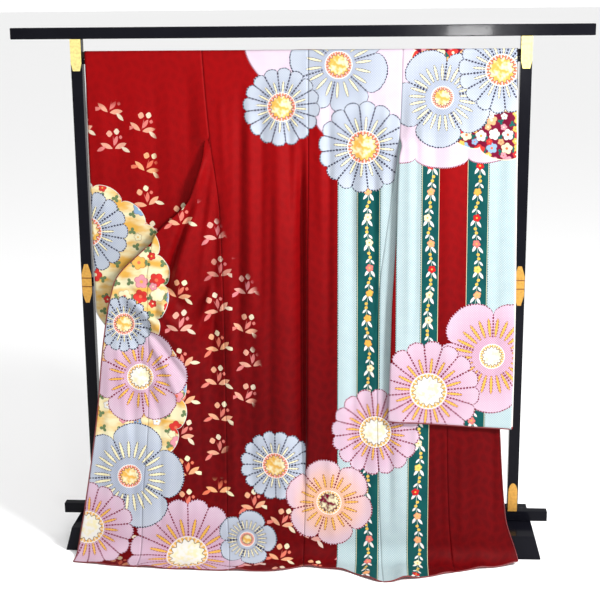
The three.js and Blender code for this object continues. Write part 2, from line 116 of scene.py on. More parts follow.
EDGES = Table(
    ["drop", "frontLeft", "okumiLeft", "sideLeft", "centre", "sideRight", "okumiRight", "frontRight"],
    [0, -294, -294, -294, 28, 311, 311, 311],
    [140, -288, -288, -284, 28, 308, 308, 312],
    [285, -289, -289, -271, 28, 302, 320, 322],
    [450, -334, -334, -250, 27, 281, 400, 402],
    [585, -456, -454, -242, 25, 262, 452, 476],
    [714, -576, -473, -238, 23, 246, 456, 548],
    [900, -614, -473, -235, 22, 239, 456, 604],
    [1140, -641, -478, -233, 20, 241, 457, 618],
    [1440, -688, -503, -231, 15, 250, 466, 642],
    [1570, -710, -507, -224, 12, 256, 477, 680],
    [1750, -716, -506, -204, 20, 264, 492, 706],
)
HEM = Table(
    ["x", "reach"],
    [-716, 222], [-526, 248], [-335, 260], [-204, 262], [-70, 258], [20, 226],
    [130, 240], [263, 316], [406, 272], [531, 222], [626, 196], [706, 170],
)
SLEEVES = Table(
    ["drop", "leftOuter", "leftInner", "rightInner", "rightOuter"],
    [0, -650, -294, 311, 648],
    [100, -650, -288, 310, 650],
    [180, -650, -283, 309, 650],
    [235, -650, -282, 312, 650],
    [262, -651, -287, 316, 651],
    [330, -651, -300, 303, 651],
    [585, -652, -304, 295, 653],
    [810, -650, -300, 284, 655],
    [900, -606, -296, 282, 655],
    [1157, -598, -290, 275, 653],
)
UPPER_FRONTS = Table(
    ["drop", "behind", "leftOuter", "leftInner", "rightInner", "rightOuter"],
    [0, 0, -294, -66, 118, 311],
    [20, 13, -293, -68, 120, 311],
    [100, 9, -288, -104, 152, 309],
    [180, -3, -281, -168, 210, 307],
    [235, -18, -280, -240, 270, 310],
    [262, -27, -285, -277, 306, 315],
)
# fromX, fromDrop, toX, toDrop, width, height: ridges (height > 0) and troughs along a line.
FOLDS = (
    (2, 260, -2, 1500, 22, -9), (-42, 200, -52, 1560, 34, 8),
    (-130, 60, -150, 1100, 40, 5), (-190, 420, -182, 1520, 26, -6),
    (-262, 330, -368, 760, 24, 10), (-300, 400, -430, 790, 20, -9),
    (-255, 520, -300, 1200, 26, 8), (-556, 716, -330, 860, 26, 9),
    (-566, 742, -400, 1080, 22, -6), (-590, 820, -560, 1500, 28, 6),
    (120, 80, 128, 1500, 36, 6), (196, 500, 205, 1560, 22, -8),
    (300, 760, 318, 1560, 34, 7), (400, 1120, 404, 1590, 24, -6),
    (545, 1100, 560, 1560, 34, 5),
)
# Finer creases of the same kind, which only the silk shows.
CREASES = (
    (6, 200, 10, 1520, 13, -26), (-280, 250, -268, 1150, 36, -18),
    (-288, 620, -262, 1500, 44, -18), (-92, 300, -60, 1500, 60, 8),
    (26, 300, 22, 1500, 8, 3), (-32, 60, -26, 620, 13, -7),
    (-64, 60, -70, 900, 17, 6), (60, 50, 74, 640, 17, 6),
    (92, 60, 88, 1000, 13, -7), (158, 160, 168, 1480, 14, -8),
    (196, 60, 190, 800, 15, 6), (226, 240, 232, 1000, 12, -8),
    (262, 120, 250, 640, 11, 5), (-112, 60, -120, 900, 15, -9),
    (-84, 340, -96, 1340, 13, -6), (-176, 60, -190, 1000, 15, -10),
    (-150, 60, -152, 900, 13, 5), (-150, 700, -150, 1500, 14, -5),
    (-238, 120, -226, 420, 10, 3), (-214, 620, -206, 1500, 12, 4.2),
    (-274, 280, -406, 750, 17, 23), (-298, 380, -452, 820, 15, -26),
    (-276, 400, -372, 800, 17, -8), (-258, 340, -318, 840, 13, 9),
    (-246, 420, -292, 1150, 11, -7), (-330, 640, -470, 900, 14, 8),
    (-560, 700, -372, 690, 16, 8), (-552, 722, -420, 800, 12, -10),
    (-556, 736, -352, 930, 17, 13), (-520, 790, -330, 1060, 13, -10),
    (-556, 770, -430, 1180, 12, -7), (-480, 860, -356, 1120, 12, 7),
    (-330, 930, -268, 700, 13, 8), (-580, 800, -520, 1400, 12, 4.6),
    (-600, 900, -610, 1500, 14, 4), (-520, 960, -534, 1540, 14, -4.4),
    (-440, 1050, -446, 1560, 12, -4.4), (-360, 1010, -372, 1540, 15, 4.4),
    (-318, 900, -310, 1500, 10, -4.4), (276, 700, 284, 1560, 11, -5.6),
    (360, 900, 366, 1560, 13, 5), (436, 1130, 446, 1560, 10, -4),
    (500, 1140, 512, 1580, 14, 4.6), (590, 900, 606, 1560, 12, -4.4),
    (640, 1240, 672, 1560, 12, 4.4), (-40, 1180, -70, 1560, 14, 4.6),
    (90, 1160, 110, 1570, 14, 4.2),
)
# x, width, height: ridges of the cloth that lies on the floor.
FLOOR_RIDGES = (
    (-640, 26, 5), (-470, 34, 6), (-340, 22, 4), (-188, 30, 7),
    (-58, 26, 5), (34, 30, 9), (128, 34, 6), (222, 24, 7),
    (330, 30, 13), (452, 26, 5), (566, 30, 9), (664, 22, 6),
)
# The sleeves' own soft folds: x, top drop, bottom drop, width, height.
SLEEVE_FOLDS = {
    -1: ((-610, 40, 700, 15, 2.6), (-560, 30, 460, 18, -3.0), (-500, 60, 1100, 20, 2.6),
         (-440, 30, 620, 14, -3.0), (-396, 30, 760, 16, 2.4), (-340, 40, 1000, 14, -3.2),
         (-306, 60, 900, 9, 2.0)),
    1: ((334, 40, 1000, 10, 3.4), (356, 30, 900, 9, -4.0), (408, 40, 600, 15, -3.0),
        (452, 60, 1120, 20, 3.2), (505, 40, 620, 13, -3.0), (556, 40, 760, 16, 2.8),
        (600, 100, 1120, 14, -2.6), (630, 60, 520, 10, 2.2)),
}


# ---------- how the cloth hangs ----------

WRAP_LENGTH = ROD_WRAP * pi / 2
BEND_TOP_Z = FLOOR_LEVEL + FLOOR_BEND * (1 - sin(LEAN))
HANG_LENGTH = (ROD_Z - BEND_TOP_Z) / cos(LEAN)
BEND_TOP_Y = -ROD_WRAP - HANG_LENGTH * sin(LEAN)
BEND_START = WRAP_LENGTH + HANG_LENGTH
FLOOR_START = BEND_START + FLOOR_BEND * (pi / 2 - LEAN)
FLOOR_REACH = -BEND_TOP_Y + FLOOR_BEND * cos(LEAN)


def ease(value, start, end):
    """0 below start, 1 above end, with a smooth rise between."""
    t = np.clip((value - start) / (end - start), 0, 1)
    return t * t * (3 - 2 * t)


def hang(drop):
    """The cloth's plane at each drop, and which way it faces: y, z, face y, face z."""
    angle = np.where(drop < WRAP_LENGTH, drop / ROD_WRAP, 0)
    run = drop - WRAP_LENGTH
    turn = np.clip(LEAN + (drop - BEND_START) / FLOOR_BEND, LEAN, pi / 2)
    on_rod, hanging, bending = drop < WRAP_LENGTH, drop < BEND_START, drop < FLOOR_START
    where = [on_rod, hanging, bending]
    face_y = np.select(where, [-np.sin(angle), -cos(LEAN), -np.cos(turn)], 0.0)
    face_z = np.select(where, [np.cos(angle), sin(LEAN), np.sin(turn)], 1.0)
    y = np.select(where, [ROD_WRAP * face_y, -ROD_WRAP - run * sin(LEAN),
                          -FLOOR_REACH - FLOOR_BEND * face_y], -FLOOR_REACH - (drop - FLOOR_START))
    z = np.select(where, [ROD_Z + ROD_WRAP * face_z, ROD_Z - run * cos(LEAN),
                          FLOOR_LEVEL + FLOOR_BEND * (1 - face_z)], FLOOR_LEVEL)
    return y, z, face_y, face_z


def bell(value, width):
    return np.exp(-((value / width) ** 2))


def fold_lift(x, drop, folds):
    """How far a list of ridges and troughs lifts the cloth."""
    lift = np.zeros(np.broadcast(x, drop).shape)
    for from_x, from_drop, to_x, to_drop, width, height in folds:
        run_x, run_drop = to_x - from_x, to_drop - from_drop
        length = np.hypot(run_x, run_drop)
        along = ((x - from_x) * run_x + (drop - from_drop) * run_drop) / length**2
        aside = ((x - from_x) * run_drop - (drop - from_drop) * run_x) / length
        swell = ease(along, 0, 0.25) * (1 - ease(along, 0.72, 1))
        lift += height * swell * bell(aside, width)
    return lift


def cowl(x, drop):
    """The pouch of silk where the left front is folded back: a raised lip round a dip."""
    centre_x, centre_drop, half_wide, half_long = -352, 700, 82, 160
    ring = np.hypot((x - centre_x) / half_wide, (drop - centre_drop) / half_long) - 1
    return (16 * bell(ring, 0.21) - 22 * bell(ring + 0.42, 0.24)) * ease(drop, 670, 790)


def relief(x, drop):
    """How far folds and creases lift the cloth off its plane."""
    hanging = ease(drop, 60, 260) * (1 - ease(drop, BEND_START - 60, FLOOR_START - 20))
    fine = ease(drop, 25, 120) * (1 - ease(drop, BEND_START - 40, FLOOR_START - 10))
    floor = sum(height * bell(x - at, width) for at, width, height in FLOOR_RIDGES)
    on_floor = ease(drop, BEND_START - 20, FLOOR_START + 60)
    creases = fold_lift(x, drop, CREASES) + cowl(x, drop)
    return fold_lift(x, drop, FOLDS) * hanging + creases * fine + floor * on_floor


def body_point(x, drop, ahead):
    """Points on the spread cloth, a distance ahead of its plane."""
    y, z, face_y, face_z = hang(drop)
    return np.stack([x, y + face_y * ahead, z + face_z * ahead], axis=-1)


def hem_drop(x):
    return FLOOR_START + HEM.at("reach", x) - FLOOR_REACH


def upper_front_point(x, drop, lift=0.0):
    """The cloth behind the shoulder: over the back of the rod and down to the underarm."""
    radius = ROD_WRAP + lift
    angle = drop / ROD_WRAP
    behind = np.minimum(UPPER_FRONTS.at("behind", drop), ROD_WRAP) + lift
    on_rod = drop < WRAP_LENGTH
    y = np.where(on_rod, radius * np.sin(angle), behind)
    z = np.where(on_rod, ROD_Z + radius * np.cos(angle), ROD_Z + WRAP_LENGTH - drop)
    return np.stack([x + 0 * y, y, z], axis=-1)


# ---------- meshes ----------

def link(name, data):
    """A new object in the scene."""
    thing = bpy.data.objects.new(name, data)
    bpy.context.scene.collection.objects.link(thing)
    return thing


def make_mesh(name, points, quads, uvs=None, slots=None, smooth=None):
    """A mesh of quads from points in the posts' frame, in mm, and UVs given point by point."""
    mesh = bpy.data.meshes.new(name)
    placed = (points + np.array([0, POST_PLANE, 0])) / 1000
    quads = np.asarray(quads, np.int32)
    mesh.vertices.add(len(points))
    mesh.vertices.foreach_set("co", placed.astype(np.float32).ravel())
    mesh.loops.add(quads.size)
    mesh.loops.foreach_set("vertex_index", quads.ravel())
    mesh.polygons.add(len(quads))
    mesh.polygons.foreach_set("loop_start", np.arange(0, quads.size, 4, dtype=np.int32))
    if slots is not None:
        mesh.polygons.foreach_set("material_index", np.asarray(slots, np.int32))
    mesh.polygons.foreach_set(
        "use_smooth", np.ones(len(quads), bool) if smooth is None else np.asarray(smooth))
    if uvs is not None:
        layer = mesh.uv_layers.new(name="Cloth")
        layer.data.foreach_set("uv", uvs[quads.ravel()].astype(np.float32).ravel())
    mesh.update(calc_edges=True)
    mesh.validate()
    return link(name, mesh)


def grid_quads(rows, columns, start=0):
    i, j = np.meshgrid(np.arange(rows - 1), np.arange(columns - 1), indexing="ij")
    a = (start + i * columns + j).ravel()
    return np.stack([a, a + columns, a + columns + 1, a + 1], axis=1)


def rim_quads(rows, columns):
    """Quads that join a grid's border to that of the same grid, one grid further on."""
    index = np.arange(rows * columns).reshape(rows, columns)
    loop = np.concatenate([index[0, :-1], index[:-1, -1], index[-1, :0:-1], index[:0:-1, 0]])
    after = np.roll(loop, -1)
    layer = rows * columns
    return np.stack([loop, after, after + layer, loop + layer], axis=1)


def normals(grid):
    along = np.gradient(grid, axis=0)
    across = np.gradient(grid, axis=1)
    normal = np.cross(along, across)
    return normal / np.maximum(np.linalg.norm(normal, axis=2, keepdims=True), 1e-9)


def shell(name, grid, cloth, thickness=SHELL, turned=None):
    """A closed wall of cloth round a grid of middle points. The face that looks along
    down x across is slot 0, the printed side; turned rows have the printed side behind."""
    rows, columns = grid.shape[:2]
    normal = normals(grid)
    front = (grid + normal * thickness / 2).reshape(-1, 3)
    back = (grid - normal * thickness / 2).reshape(-1, 3)
    face = grid_quads(rows, columns)
    behind = grid_quads(rows, columns, rows * columns)[:, ::-1]
    rim = rim_quads(rows, columns)
    swap = np.zeros(rows - 1, int) if turned is None else np.asarray(turned[:-1], int)
    swap = np.repeat(swap, columns - 1)
    slots = np.concatenate([swap, 1 - swap, np.full(len(rim), 2)])
    smooth = np.concatenate([np.ones(len(face) * 2, bool), np.zeros(len(rim), bool)])
    uvs = np.concatenate([cloth.reshape(-1, 2)] * 2) / 1000
    return make_mesh(name, np.concatenate([front, back]), np.concatenate([face, behind, rim]),
                     uvs, slots, smooth)


def tube(name, path, radius, sides=8):
    """A closed round tube along a path of points, in mm."""
    path = np.asarray(path, float)
    tangent = np.gradient(path, axis=0)
    tangent /= np.linalg.norm(tangent, axis=1, keepdims=True)
    up = np.tile([0.12, -0.75, 0.65], (len(path), 1))
    side = np.cross(tangent, up)
    side /= np.linalg.norm(side, axis=1, keepdims=True)
    other = np.cross(tangent, side)
    angles = np.arange(sides) * tau / sides
    radii = np.full(len(path), radius)
    radii[[0, -1]] *= 0.35
    ring = (side[:, None] * np.cos(angles)[None, :, None]
            + other[:, None] * np.sin(angles)[None, :, None])
    points = (path[:, None] + ring * radii[:, None, None]).reshape(-1, 3)
    i, j = np.meshgrid(np.arange(len(path) - 1), np.arange(sides), indexing="ij")
    a, b = i * sides + j, i * sides + (j + 1) % sides
    quads = np.stack([a, b, b + sides, a + sides], axis=-1).reshape(-1, 4)
    piece = make_mesh(name, points, quads)
    close_ends(piece)
    return piece


def close_ends(piece):
    bm = bmesh.new()
    bm.from_mesh(piece.data)
    bmesh.ops.holes_fill(bm, edges=[e for e in bm.edges if e.is_boundary], sides=0)
    bmesh.ops.recalc_face_normals(bm, faces=bm.faces)
    bm.to_mesh(piece.data)
    bm.free()


# ---------- shader arithmetic ----------


def add_node(kind, inputs, **settings):
    """A node with its inputs, in the tree that the first linked input belongs to."""
    linked = next(v for v in inputs.values() if isinstance(v, (Value, bpy.types.NodeSocket)))
    node = linked.id_data.nodes.new(kind)
    for key, value in settings.items():
        setattr(node, key, value)
    for key, value in inputs.items():
        feed(value, node.inputs[key])
    return node


def math_method(operation, swapped=False):
    """A method of Value that adds one Math node."""
    def method(self, *others):
        inputs = (*others, self) if swapped else (self, *others)
        node = add_node("ShaderNodeMath", dict(enumerate(inputs)), operation=operation)
        return Value(node.outputs[0])
    return method


class Value:
    """A number in a node tree; its arithmetic adds Math nodes."""

    def __init__(self, socket):
        self.socket, self.id_data = socket, socket.id_data

    __add__ = math_method("ADD")
    __radd__ = math_method("ADD", swapped=True)
    __sub__ = math_method("SUBTRACT")
    __rsub__ = math_method("SUBTRACT", swapped=True)
    __mul__ = math_method("MULTIPLY")
    __rmul__ = math_method("MULTIPLY", swapped=True)
    __truediv__ = math_method("DIVIDE")
    floor = math_method("FLOOR")
    fract = math_method("FRACT")
    abs = math_method("ABSOLUTE")
    sqrt = math_method("SQRT")
    cos = math_method("COSINE")
    sin = math_method("SINE")
    arctangent = math_method("ARCTAN2")
    below = math_method("LESS_THAN")
    least = math_method("MINIMUM")
    most = math_method("MAXIMUM")

    def rise(self, start, end):
        """0 below start, 1 above end, with a smooth rise between."""
        # The smooth step stays within 0 and 1 by itself, so it isn't clamped.
        node = add_node("ShaderNodeMapRange", {"Value": self, "From Min": start, "From Max": end},
                        interpolation_type="SMOOTHSTEP", clamp=False)
        return Value(node.outputs[0])


def feed(value, slot):
    """Links a value to a socket, or sets the socket to a plain number or colour."""
    if isinstance(value, Value):
        value = value.socket
    if isinstance(value, bpy.types.NodeSocket):
        slot.id_data.links.new(value, slot)
    elif isinstance(value, tuple):
        slot.default_value = (*value, 1.0)
    else:
        slot.default_value = value


def feed_all(node, inputs):
    for key, value in inputs.items():
        feed(value, node.inputs[key])


def mix(share, first, second):
    """The first colour where share is 0, the second where it is 1."""
    return add_node("ShaderNodeMix", {0: share, 6: first, 7: second}, data_type="RGBA").outputs[2]


def parts(vector, kind="ShaderNodeSeparateXYZ"):
    """The three numbers of a vector or colour."""
    return [Value(output) for output in add_node(kind, {0: vector}).outputs]


def salted(x, y, salt):
    """x and y as a vector, with a salt as its z to make each use differ."""
    return add_node("ShaderNodeCombineXYZ", {0: x, 1: y, 2: salt}).outputs[0]


def noise(x, y, scale, detail=2.0, salt=0.0):
    """Soft noise from 0 to 1, scale bumps to each unit of x and y."""
    inputs = {"Vector": salted(x, y, salt), "Scale": scale, "Detail": detail}
    return Value(add_node("ShaderNodeTexNoise", inputs).outputs["Fac"])


def chance(x, y, salt):
    """Three even random numbers for each whole x and y."""
    inputs = {"Vector": salted(x, y, salt)}
    node = add_node("ShaderNodeTexWhiteNoise", inputs, noise_dimensions="3D")
    return parts(node.outputs["Color"], "ShaderNodeSeparateColor")


def pick(share, colours):
    """One of the colours, in equal shares of a number from 0 to 1."""
    node = add_node("ShaderNodeValToRGB", {0: share})
    node.color_ramp.interpolation = "CONSTANT"
    stops = node.color_ramp.elements
    while len(stops) < len(colours):
        stops.new(0.5)
    for i, (stop, colour) in enumerate(zip(stops, colours)):
        stop.position = i / len(colours)
        stop.color = (*colour, 1.0)
    return node.outputs[0]


class Group:
    """A node group under construction: numbers and colours in, one colour out."""

    def __init__(self, name, numbers, colours):
        self.tree = bpy.data.node_groups.new(name, "ShaderNodeTree")
        sockets = [(key, "INPUT", "NodeSocketFloat") for key in numbers]
        sockets += [(key, "INPUT", "NodeSocketColor") for key in colours]
        for key, way, kind in (*sockets, ("Colour", "OUTPUT", "NodeSocketColor")):
            self.tree.interface.new_socket(key, in_out=way, socket_type=kind)
        given = self.tree.nodes.new("NodeGroupInput").outputs
        self.numbers = [Value(given[key]) for key in numbers]
        self.colours = [given[key] for key in colours]

    def give(self, colour):
        feed(colour, self.tree.nodes.new("NodeGroupOutput").inputs[0])
        return self.tree


def use(group, **inputs):
    return add_node("ShaderNodeGroup", inputs, node_tree=group).outputs[0]


# ---------- colours, linear ----------


def srgb(red, green, blue):
    """A linear colour from the red, green and blue of a screen, 0 to 255."""
    return tuple((c / 255 / 12.92) if c < 11 else ((c / 255 + 0.055) / 1.055) ** 2.4
                 for c in (red, green, blue))


LIT = 1.7  # how much brighter the studio light makes the cloth than its own colour


def dye(red, green, blue):
    """The colour of cloth that looks like this screen colour under the studio light."""
    return tuple(c / LIT for c in srgb(red, green, blue))


CRIMSON = dye(166, 4, 9)
# Darker crimson: the silk's own deeper tone, and the painted shade that darkens the cloth towards the
# hem.
DEEP_AND_SHADED_CRIMSON = dye(100, 2, 7)
PALE_BLUE = dye(190, 200, 216)
GREY_BLUE = dye(156, 168, 192)
LILAC = dye(218, 186, 208)
PALE_LILAC = dye(238, 220, 238)
ROSE = dye(204, 148, 180)
AQUA = dye(180, 206, 210)
DEEP_AQUA = dye(164, 190, 198)
TEAL = dye(20, 98, 92)
DEEP_TEAL = dye(12, 66, 74)
GOLD = dye(240, 184, 84)
CREAM = dye(250, 240, 196)
NAVY = dye(44, 40, 66)
PLUM = dye(122, 14, 50)
PEACH = dye(248, 178, 126)
CORAL = dye(238, 122, 88)
IVORY = dye(246, 244, 240)
LEAF_GREEN = dye(112, 134, 92)
VINE = dye(226, 232, 214)
BUD = dye(240, 196, 90)
BLOSSOM_COLOURS = (IVORY, dye(240, 160, 172), CREAM, dye(222, 60, 54), dye(246, 190, 92),
                   dye(148, 182, 216), dye(240, 176, 126))
GARLAND_COLOURS = (dye(214, 40, 40), GOLD, CREAM, PEACH, dye(232, 214, 110), dye(236, 130, 120))
BRASS_COLOUR = srgb(198, 148, 66)


# ---------- motifs ----------

DOT_PITCH = 7.4  # between the tied dots, along x + y


def kanoko(x, y, colour, strength=0.5):
    """The fine grid of pale tied dots, on a colour."""
    along = ((x + y) / DOT_PITCH).fract() - 0.5
    across = ((x - y) / DOT_PITCH).fract() - 0.5
    spot = (along * along + across * across).rise(0.13, 0.05)
    return mix(spot, colour, mix(strength, colour, IVORY))


def distance(dx, dy):
    return (dx * dx + dy * dy).sqrt()


def dashes(steps, start, end):
    """A dash in the middle of each step, as far out as a rise from start to end says."""
    return (steps.fract() - 0.5).abs().rise(start, end)


def lobes(steps):
    """A round lobe on each step: 1 in its middle, 0 at its ends."""
    share = steps.fract() - 0.5
    return (1 - 4 * share * share).most(0).sqrt()


def petal_edge(angle, size, petals, depth):
    """The edge of a small blossom, at an angle."""
    return size * (1 - depth + depth * (angle * (petals / 2)).cos().abs())


# The flower's inputs, in the order of a row of FLOWERS, of a kind and of a palette.
PLACE = ("CentreX", "CentreY", "Radius", "Turn")
KIND = ("Petals", "Heart", "Depth", "Fan")
PALETTE = ("Petal", "Tip", "Line", "Stamen", "Eye", "Ring")


def flower_group():
    """One many-petalled flower with tied, dotted outlines, laid over a base colour."""
    g = Group("flower", ("X", "Y", *PLACE, *KIND), ("Base", *PALETTE))
    x, y, centre_x, centre_y, radius, turn, petals, heart, depth, fan = g.numbers
    base, petal_dye, tip_dye, line_dye, stamen_dye, eye_dye, ring_dye = g.colours
    dx, dy = x - centre_x, y - centre_y
    reach = distance(dx, dy)
    angle = dy.arctangent(dx) + turn + tau
    steps = angle * petals / tau
    wander = noise(dx, dy, 0.12, salt=3.1) - 0.5
    edge = radius * (1 - depth + depth * lobes(steps)) + wander * 7
    dots = dashes(reach / 9.5, 0.38, 0.28)
    aside = ((steps * fan).fract() - 0.5).abs() * reach * tau / (petals * fan)
    gap = (0.5 - (steps.fract() - 0.5).abs()) * reach * tau / petals
    tone = (reach / radius).rise(0.35, 0.98)
    shade = noise(dx, dy, 0.02, salt=7.7)
    picture = kanoko(x, y, mix(tone * 0.75 + shade * 0.3, petal_dye, tip_dye))
    line = (gap + wander * 5).rise(3.0, 1.8) * dots * (reach / radius).rise(0.3, 0.36)
    rim = (edge - reach).rise(4.8, 3.4) * dashes(angle * radius / 8.5, 0.40, 0.30)
    middle = (reach / radius - 0.5) / 0.16
    swell = (1 - middle * middle).most(0).sqrt()
    half_wide = swell * radius * 0.024
    stamen = (half_wide - aside).rise(0, 0.8)
    stamen_line = (half_wide + 1.9 - aside).rise(0, 0.8) * swell.rise(0, 0.2) * dots
    collar = radius * heart + 9
    ring = (collar - 2.5 - reach).rise(0, 1) * (0.4 + 0.6 * dashes(angle * 28 / tau, 0.34, 0.22))
    ruffle = radius * heart * (0.93 + 0.09 * (angle * 14).cos()) - reach
    eye = mix(noise(dx, dy, 0.06, salt=1.9).rise(0.4, 0.65), eye_dye, CREAM)
    for share, colour in (
        (line, line_dye), (stamen_line, line_dye), (stamen, stamen_dye), (rim, line_dye),
        ((collar - reach).rise(0, 1), IVORY), (ring, ring_dye),
        (ruffle.rise(-1.6, -0.6), NAVY), (ruffle.rise(0.6, 1.6), eye),
    ):
        picture = mix(share, picture, colour)
    return g.give(mix((edge - reach).rise(0, 0.9), base, picture))


# Shift in cells, size in cells and whether it is leaves, for each layer of small blossoms.
BLOSSOM_LAYERS = ((0.5, 0.26, True), (0.0, 0.42, False), (0.27, 0.24, False))


def blossoms_group():
    """Small five-petalled blossoms scattered over a colour, with leaves between them."""
    g = Group("blossoms", ("X", "Y", "Cell", "Share"), ("Base", "Leaf"))
    x, y, cell, share = g.numbers
    picture, leaf_dye = g.colours
    for layer, (shift, size, leafy) in enumerate(BLOSSOM_LAYERS):
        column, row = x / cell + shift, y / cell + shift * 1.7
        first, second, third = chance(column.floor(), row.floor(), 2.0 + layer)
        dx = column.fract() - 0.5 + (first - 0.5) * 0.26
        dy = row.fract() - 0.5 + (second - 0.5) * 0.26
        reach = distance(dx, dy)
        angle = dy.arctangent(dx) + third * tau
        if leafy:
            edge = petal_edge(angle, size, 3, 0.65)
            picture = mix((edge - reach).rise(0, 0.03), picture, leaf_dye)
            continue
        edge = petal_edge(angle, size, 5, 0.26)
        colour = pick(first, BLOSSOM_COLOURS)
        heart = pick(second, (GOLD, CORAL, CREAM))
        for limit, tint in ((edge + 0.035, mix(0.55, colour, PLUM)), (edge, colour),
                            (size * 0.28, heart)):
            inside = (limit - reach).rise(0, 0.03) * third.below(share)
            picture = mix(inside, picture, tint)
    return g.give(picture)


def leaf(x, y, centre_x, centre_y, half_long, half_wide, turn):
    """1 inside a pointed oval that is turned by some degrees, 0 outside."""
    dx, dy = x - centre_x, y - centre_y
    cosine, sine = cos(radians(turn)), sin(radians(turn))
    along = (dx * cosine + dy * sine) / half_long
    across = dy * cosine - dx * sine
    return ((1 - along * along) * half_wide - across.abs()).rise(0, 0.8)


# centre x, centre y, half length, half width, turn in degrees, colour. y runs down the cloth.
SPRAY = (
    (0, 2, 15, 1.0, 86, CORAL),
    (-15, 12, 15, 5.5, 24, PEACH),
    (16, 11, 15, 6.0, -26, PEACH),
    (5, 0, 12, 4.6, -72, CORAL),
    (-27, 19, 12, 4.6, -28, CORAL),
    (27, 19, 12, 4.6, 28, CREAM),
    (-9, -15, 7.0, 7.4, 0, PEACH),
    (7, -20, 6.5, 7.0, 0, CREAM),
    (16, -8, 4.2, 4.4, 0, CORAL),
)


def sprays_group():
    """Coral sprays of leaves and berries, one in each cell, where Where is 1."""
    g = Group("sprays", ("X", "Y", "CellX", "CellY", "Where"), ("Base",))
    x, y, cell_x, cell_y, where = g.numbers
    picture = g.colours[0]
    column = x / cell_x
    row = y / cell_y + 0.5 * (column.floor() * 0.5).fract() * 2
    first, second, third = chance(column.floor(), row.floor(), 9.0)
    x = (column.fract() - 0.5) * cell_x + (first - 0.5) * 24
    y = (row.fract() - 0.5) * cell_y + (second - 0.5) * 24
    tilt = (third - 0.5) * 0.9
    turned_x = (x * tilt.cos() + y * tilt.sin()) * 0.72
    turned_y = (y * tilt.cos() - x * tilt.sin()) * 0.72
    kept = where * (first + third).rise(0.42, 0.44)
    for *shape, colour in SPRAY:
        tint = mix(second * 0.5, colour, ROSE)
        picture = mix(leaf(turned_x, turned_y, *shape) * kept, picture, tint)
    return g.give(picture)


# The garland's leaves, as in a spray.
GARLAND_LEAVES = (
    (-9, 14, 13, 4.6, -58), (9, 18, 13, 4.6, 58), (-7, -22, 9, 3.6, -50), (8, -18, 9, 3.6, 52),
)


def garland_group():
    """A vine down the middle of a band: blossoms with pairs of pale leaves below each."""
    g = Group("garland", ("X", "Y", "Centre", "Pitch"), ("Base",))
    x, y, centre, pitch = g.numbers
    row = y / pitch
    first, second, third = chance(row.floor(), centre, 5.0)
    x = x - centre - (y / 47).sin() * 5
    down = (row.fract() - 0.5) * pitch
    side = (first - 0.5) * 10
    picture = mix((0.9 - x.abs()).rise(0, 0.8), g.colours[0], VINE)
    for shape in GARLAND_LEAVES:
        picture = mix(leaf(x, down, *shape), picture, IVORY)
    dx = x - side
    reach = distance(dx, down)
    edge = petal_edge(down.arctangent(dx) + second * 3, 11.5, 5, 0.24)
    colour = pick(third, GARLAND_COLOURS)
    bud = distance(x + side * 0.7, down.abs() - pitch * 0.42)
    for inside, tint in ((edge + 1.2 - reach, mix(0.6, colour, PLUM)), (edge - reach, colour),
                         (3.2 - reach, GOLD), (5.2 - bud, BUD)):
        picture = mix(inside.rise(0, 0.8), picture, tint)
    return g.give(picture)


FLOWER, BLOSSOMS, SPRAYS, GARLAND = flower_group(), blossoms_group(), sprays_group(), garland_group()

# ---------- what is printed where ----------

# The palettes of the large flowers: petal, tip, line, stamen, eye, ring.
BLUE = (GREY_BLUE, PALE_BLUE, NAVY, CREAM, GOLD, CORAL)
PINK = (ROSE, LILAC, PLUM, GOLD, IVORY, GOLD)
SUNNY = (PEACH, LILAC, PLUM, GOLD, PLUM, GOLD)
# Their kinds: petals, size of the heart, depth of the notches, stamens to a petal.
PLUM_BLOSSOM = (5.0, 0.17, 0.30, 5.0)
CHERRY = (6.0, 0.22, 0.24, 3.0)
CHRYSANTHEMUM = (16.0, 0.30, 0.12, 1.0)
# x, drop, radius, turn, kind, palette
FLOWERS = {
    "shoulder": (120, 52, 150, 0.3, CHERRY, BLUE),
    "nape": (-52, 176, 118, 0.9, CHRYSANTHEMUM, BLUE),
    "back": (196, 296, 138, 0.5, CHRYSANTHEMUM, BLUE),
    "sleeve_top": (430, 150, 150, 0.2, PLUM_BLOSSOM, BLUE),
    "sleeve_edge": (604, 70, 130, 0.5, CHRYSANTHEMUM, BLUE),
    "sleeve_low": (590, 930, 178, 0.3, PLUM_BLOSSOM, PINK),
    "sleeve_hem": (398, 1040, 158, 0.1, CHRYSANTHEMUM, PINK),
    "hip": (236, 1176, 138, 0.1, CHRYSANTHEMUM, PINK),
    "hem_sunny": (92, 1404, 140, 0.2, CHERRY, SUNNY),
    "hem_blue": (-76, 1286, 112, 0.4, CHRYSANTHEMUM, BLUE),
    "hem_pink": (-356, 1590, 190, 0.0, CHRYSANTHEMUM, PINK),
    "hem_small": (-168, 1530, 96, 0.7, PLUM_BLOSSOM, BLUE),
    "left_blue": (-540, 1330, 176, 0.7, PLUM_BLOSSOM, BLUE),
    "left_pink": (-680, 1500, 150, 0.1, CHRYSANTHEMUM, PINK),
    "field_pink": (-500, 1010, 150, 0.6, CHERRY, PINK),
    "cuff": (-668, 560, 132, 0.6, CHRYSANTHEMUM, BLUE),
    "field_blue": (-548, 842, 88, 0.2, CHRYSANTHEMUM, BLUE),
}
# Bands that run down the right of the garment: first x, last x, kind.
BODY_BANDS = ((118, 178, "aqua"), (178, 246, "teal"), (246, 338, "aqua"), (338, 402, "teal"))
SLEEVE_BANDS = ((296, 372, "aqua"), (372, 424, "teal"), (508, 570, "teal"), (570, 662, "aqua"))
BANDS_TOP = 200.0
